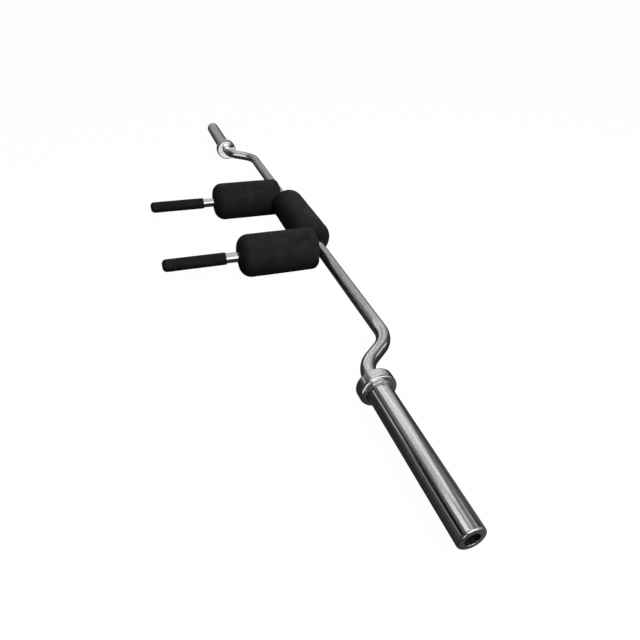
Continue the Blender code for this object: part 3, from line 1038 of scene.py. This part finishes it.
# Its next bands towards the left end: where each starts to show, where it shows fully, its brightness
DOME_BANDS = (
    (-0.972, -0.966, (
        (0, 0.10), (18, 0.14), (30, 0.20), (42, 0.38), (55, 0.46), (66, 0.40), (90, 0.38), (108, 0.44),
        (142, 0.42), (153, 0.34), (172, 0.18), (180, 0.12),
    )),
    (-0.945, -0.925, (
        (0, 0.25), (8, 0.34), (32, 0.56), (54, 0.54), (73, 0.46), (112, 0.45), (128, 0.38), (141, 0.27),
        (158, 0.12), (172, 0.05), (180, 0.045),
    )),
    (-0.78, -0.70, (
        (0, 0.10), (7, 0.10), (10, 0.90), (15, 0.90), (20, 0.45), (30, 0.50), (37, 0.92), (100, 0.95),
        (112, 0.80), (117, 0.75), (121, 0.20), (155, 0.22), (158, 0.80), (162, 0.80), (165, 0.07),
        (180, 0.06),
    )),
    (-0.655, -0.645, (
        (0, 0.20), (20, 0.28), (35, 0.50), (50, 0.72), (63, 0.90), (74, 1.00), (98, 1.00), (106, 1.10),
        (110, 0.90), (117, 0.28), (126, 0.16), (138, 0.12), (146, 0.04), (153, 0.04), (157, 0.55),
        (164, 0.55), (168, 0.10), (180, 0.06),
    )),
    (-0.60, -0.50, (
        (0, 0.50), (62, 0.82), (75, 1.05), (84, 0.98), (90, 0.75), (97, 0.62), (112, 0.68), (117, 0.50),
        (121, 0.22), (137, 0.15), (143, 0.03), (157, 0.02), (166, 0.10), (170, 0.28), (176, 0.22),
        (180, 0.10),
    )),
    (-0.48, -0.41, (
        (0, 0.50), (60, 0.60), (80, 0.60), (86, 0.40), (98, 0.38), (104, 1.30), (122, 1.40), (129, 0.22),
        (143, 0.19), (148, 0.01), (163, 0.01), (169, 0.22), (175, 0.22), (178, 0.07),
    )),
    (-0.34, -0.24, (
        (0, 0.15), (36, 0.20), (50, 0.75), (108, 0.75), (126, 0.30), (142, 0.02), (180, 0.04),
    )),
)

# The window beyond the left end: its brightness along X, and how dark it is low in front of the bar
WINDOW = ((0.3, 0.7), (0.6, 0.65), (0.72, 0.9), (0.8, 1.9), (0.97, 1.9), (1.0, 1.7))
WINDOW_DARK = (0.08, 0.08, 0.08, 1.0)


def seen_rays(add):
    """One for a ray from the camera, off metal or through glass."""
    rays = add("LightPath").outputs
    first = reckon(add, "MAXIMUM", rays["Is Camera Ray"], rays["Is Glossy Ray"])
    return reckon(add, "MAXIMUM", first, rays["Is Transmission Ray"])


def grey_ramp(add, value, stops):
    """A grey that follows a value through pairs of place and brightness."""
    first, last = stops[0][0], stops[-1][0]
    node = add("ValToRGB", {"Fac": to_range(add, value, first, last)})
    elements = node.color_ramp.elements
    while len(elements) > 1:
        elements.remove(elements[-1])
    for index, (at, grey) in enumerate(stops):
        part = (at - first) / (last - first)
        element = elements[0] if index == 0 else elements.new(part)
        element.position = part
        element.color = (grey, grey, grey, 1.0)
    return node.outputs["Color"]


def fade(add, value, start, end, before, after):
    """Passes from one colour to another as a value goes from start to end."""
    share = to_range(add, value, start, end, interpolation_type="SMOOTHSTEP")
    return mixed(add, share, before, after)


def glowing(name):
    """A material that is given a glow later on, and lights nothing by itself."""
    material, _, add = new_material(name)
    material.cycles.emission_sampling = "NONE"
    return material, add


def glow(add, colour, strength=1.0):
    """A shader that glows."""
    return add("Emission", {"Color": colour, "Strength": strength}).outputs["Emission"]


def blended(add, share, first, second):
    """Passes from one shader to another as a share goes from 0 to 1."""
    return add("MixShader", {0: share, 1: first, 2: second}).outputs["Shader"]


def frame_of(across, along):
    """A rotation whose X and Y are the two directions given."""
    return Matrix((across, along, across.cross(along))).transposed().to_4x4()


def stage_mesh(bm, name, material):
    """Makes a bmesh a part of the studio."""
    made = new_object(bm, name, [material])
    return made


def stage_plane(name, size, place, material):
    """Makes a square a part of the studio."""
    bm = bmesh.new()
    bmesh.ops.create_grid(bm, x_segments=1, y_segments=1, size=size / 2, matrix=place)
    return stage_mesh(bm, name, material)


def only_in_reflections(made):
    """Hides a part of the studio from all but the rays off metal."""
    for ray in ("camera", "diffuse", "shadow", "transmission", "volume_scatter"):
        setattr(made, "visible_" + ray, False)


class BARBELL_OT_studio(Operator):
    """Sets the floor, the softbox, the reflection dome and the camera"""

    bl_idname = "barbell.studio"
    bl_label = "Studio"

    def execute(self, context):
        studio = context.scene.studio_settings
        context.scene.view_settings.view_transform = "Standard"
        self.world(context, studio)
        self.floor()
        self.floor_card()
        self.cards()
        self.side_flag()
        self.dome()
        self.softbox(context, studio)
        self.camera(context, studio)
        return {"FINISHED"}

    def world(self, context, studio):
        """White to the camera and in reflections, and a plain low fill on the object."""
        world = bpy.data.worlds.new("studio")
        context.scene.world = world
        world.use_nodes = True
        tree = world.node_tree
        add = adder(tree)
        fill = tree.nodes["Background"]
        feed(fill, {"Color": WHITE, "Strength": studio.fill_strength})
        white = add("Background", {"Color": WHITE, "Strength": 1.0})
        surface = blended(add, seen_rays(add), fill.outputs["Background"], white.outputs["Background"])
        feed(tree.nodes["World Output"], {"Surface": surface})

    def floor(self):
        """A pale floor, white to the camera and in reflections, that keeps a soft shadow."""
        material, shader, add = new_material("pale_floor")
        feed(shader, {"Base Color": (0.3, 0.3, 0.3, 1.0), "Roughness": 0.9, "Specular IOR Level": 0.0})
        share = reckon(add, "MULTIPLY", seen_rays(add), 0.9)
        show(material, blended(add, share, shader.outputs["BSDF"], glow(add, WHITE, 1.09)))
        stage_plane("floor", 60.0, Matrix.Identity(4), material)

    def floor_card(self):
        """A dark glowing sheet that only the metal sees under the bar: a painted reflection of a dark
        floor, darkest close to the bar as a painted shadow.
        """
        card, add = glowing("floor_card")
        parts = add("SeparateXYZ", {"Vector": coordinates(add)}).outputs
        along = grey_ramp(add, parts["X"], SHEET_ALONG)
        across = grey_ramp(add, parts["Y"], SHEET_ACROSS)
        show(card, glow(add, fade(add, parts["X"], 0.72, 0.78, along, across)))
        place = Matrix.Translation((0.0, 0.0, 0.0001))
        only_in_reflections(stage_plane("floor_card", 50.0, place, card))

    def cards(self):
        """Small glowing white cards near the bar that only the metal sees, and only from the front: painted
        highlights in the chrome.
        """
        for name, strength, centre, across, along, width, height in CARDS:
            card, add = glowing(name)
            seen_from = {0: add("NewGeometry").outputs["Incoming"], 1: tuple(across.cross(along))}
            in_front = add("VectorMath", seen_from, operation="DOT_PRODUCT").outputs["Value"]
            clear = add("BsdfTransparent").outputs["BSDF"]
            share = to_range(add, in_front, 0.4, 0.55)
            show(card, blended(add, share, clear, glow(add, WHITE, strength)))
            size = Matrix.Diagonal((width, height, 1.0, 1.0))
            place = Matrix.Translation(centre) @ frame_of(across, along) @ size
            only_in_reflections(stage_plane(name, 1.0, place, card))

    def side_flag(self):
        """A glowing grey flag behind the left sleeve, seen only in the metal as a painted reflection, whose
        slanting edge ends the bright band in the chrome.
        """
        card, add = glowing("side_flag")
        parts = add("SeparateXYZ", {"Vector": coordinates(add)}).outputs
        inner = grey_ramp(add, parts["Z"], FLAG_INNER)
        outer = grey_ramp(add, parts["Z"], FLAG_OUTER)
        show(card, glow(add, fade(add, parts["X"], 0.59, 0.66, inner, outer)))
        edge = Vector((0.505, -0.54, 0.677)).normalized()
        out = Vector((0.725, 0.682, 0.004)).normalized()
        centre = Vector((0.48, 0.60, 0.66)) + out * 0.4
        place = Matrix.Translation(centre) @ frame_of(edge, out) @ Matrix.Diagonal((2.2, 1.0, 1.0, 1.0))
        only_in_reflections(stage_plane("side_flag", 0.8, place, card))

    def dome(self):
        """What the chrome reflects, painted on a glowing dome as painted reflections: a softbox along the
        bar overhead, flags down the front, a window.
        """
        material, add = glowing("reflection_dome")
        place = add("Mapping", {"Vector": coordinates(add), "Location": (-0.9, -0.1, -0.05)})
        to = add("VectorMath", {0: place.outputs["Vector"]}, operation="NORMALIZE")
        parts = add("SeparateXYZ", {"Vector": to.outputs["Vector"]}).outputs
        x = parts["X"]
        degrees = reckon(add, "DEGREES", reckon(add, "ARCTAN2", parts["Z"], parts["Y"]))
        shade = grey_ramp(add, degrees, DOME_FAR_END)
        for start, end, stops in DOME_BANDS:
            shade = fade(add, x, start, end, shade, grey_ramp(add, degrees, stops))
        window = fade(add, degrees, 118.0, 140.0, grey_ramp(add, x, WINDOW), WINDOW_DARK)
        show(material, glow(add, fade(add, x, 0.12, 0.42, shade, window)))
        bm = bmesh.new()
        bmesh.ops.create_uvsphere(bm, u_segments=96, v_segments=48, radius=24.0)
        below = [v for v in bm.verts if v.co.z < -0.01]
        bmesh.ops.delete(bm, geom=below, context="VERTS")
        only_in_reflections(stage_mesh(bm, "reflection_dome", material))

    def softbox(self, context, studio):
        """A large softbox, high beyond the left sleeve and behind the bar."""
        data = bpy.data.lights.new("softbox", "AREA")
        data.shape = "RECTANGLE"
        data.size = 2.4
        data.size_y = 1.8
        data.energy = studio.key_power
        light = bpy.data.objects.new("softbox", data)
        light.location = (1.6, 0.9, 2.2)
        light.rotation_euler = (-light.location).to_track_quat("-Z", "Y").to_euler()
        light.visible_glossy = False
        light.visible_camera = False
        context.scene.collection.objects.link(light)

    def camera(self, context, studio):
        """The photograph's camera."""
        data = bpy.data.cameras.new("camera")
        data.lens = studio.lens
        data.sensor_width = 36.0
        data.clip_start = 0.05
        data.clip_end = 100.0
        camera = bpy.data.objects.new("camera", data)
        camera.location = studio.eye
        camera.rotation_euler = Euler(studio.angles)
        context.scene.collection.objects.link(camera)
        context.scene.camera = camera


class BARBELL_PT_panel(Panel):
    """Lists the sizes and the pieces of the barbell"""

    bl_idname = "BARBELL_PT_panel"
    bl_label = "Padded Yoke Barbell"
    bl_space_type = "VIEW_3D"
    bl_region_type = "UI"
    bl_category = "Barbell"

    def draw(self, context):
        layout = self.layout
        scene = context.scene
        for group in (scene.bar_sizes, scene.pad_sizes, scene.studio_settings):
            for name in group.__annotations__:
                layout.prop(group, name)
        for step in STEPS:
            layout.operator(step.bl_idname)


STEPS = (
    BARBELL_OT_shaft,
    BARBELL_OT_sleeves,
    BARBELL_OT_collars,
    BARBELL_OT_bearings,
    BARBELL_OT_end_bolts,
    BARBELL_OT_handles,
    BARBELL_OT_grips,
    BARBELL_OT_pads,
    BARBELL_OT_studio,
)
CLASSES = (BarSizes, PadSizes, StudioSettings, *STEPS, BARBELL_PT_panel)


def register():
    for each in CLASSES:
        bpy.utils.register_class(each)
    bpy.types.Scene.bar_sizes = PointerProperty(type=BarSizes)
    bpy.types.Scene.pad_sizes = PointerProperty(type=PadSizes)
    bpy.types.Scene.studio_settings = PointerProperty(type=StudioSettings)


def unregister():
    del bpy.types.Scene.studio_settings
    del bpy.types.Scene.pad_sizes
    del bpy.types.Scene.bar_sizes
    for each in reversed(CLASSES):
        bpy.utils.unregister_class(each)


def main():
    register()
    bpy.ops.barbell.shaft()
    bpy.ops.barbell.sleeves()
    bpy.ops.barbell.collars()
    bpy.ops.barbell.bearings()
    bpy.ops.barbell.end_bolts()
    bpy.ops.barbell.handles()
    bpy.ops.barbell.grips()
    bpy.ops.barbell.pads()
    bpy.ops.barbell.studio()


if __name__ == "__main__":
    main()
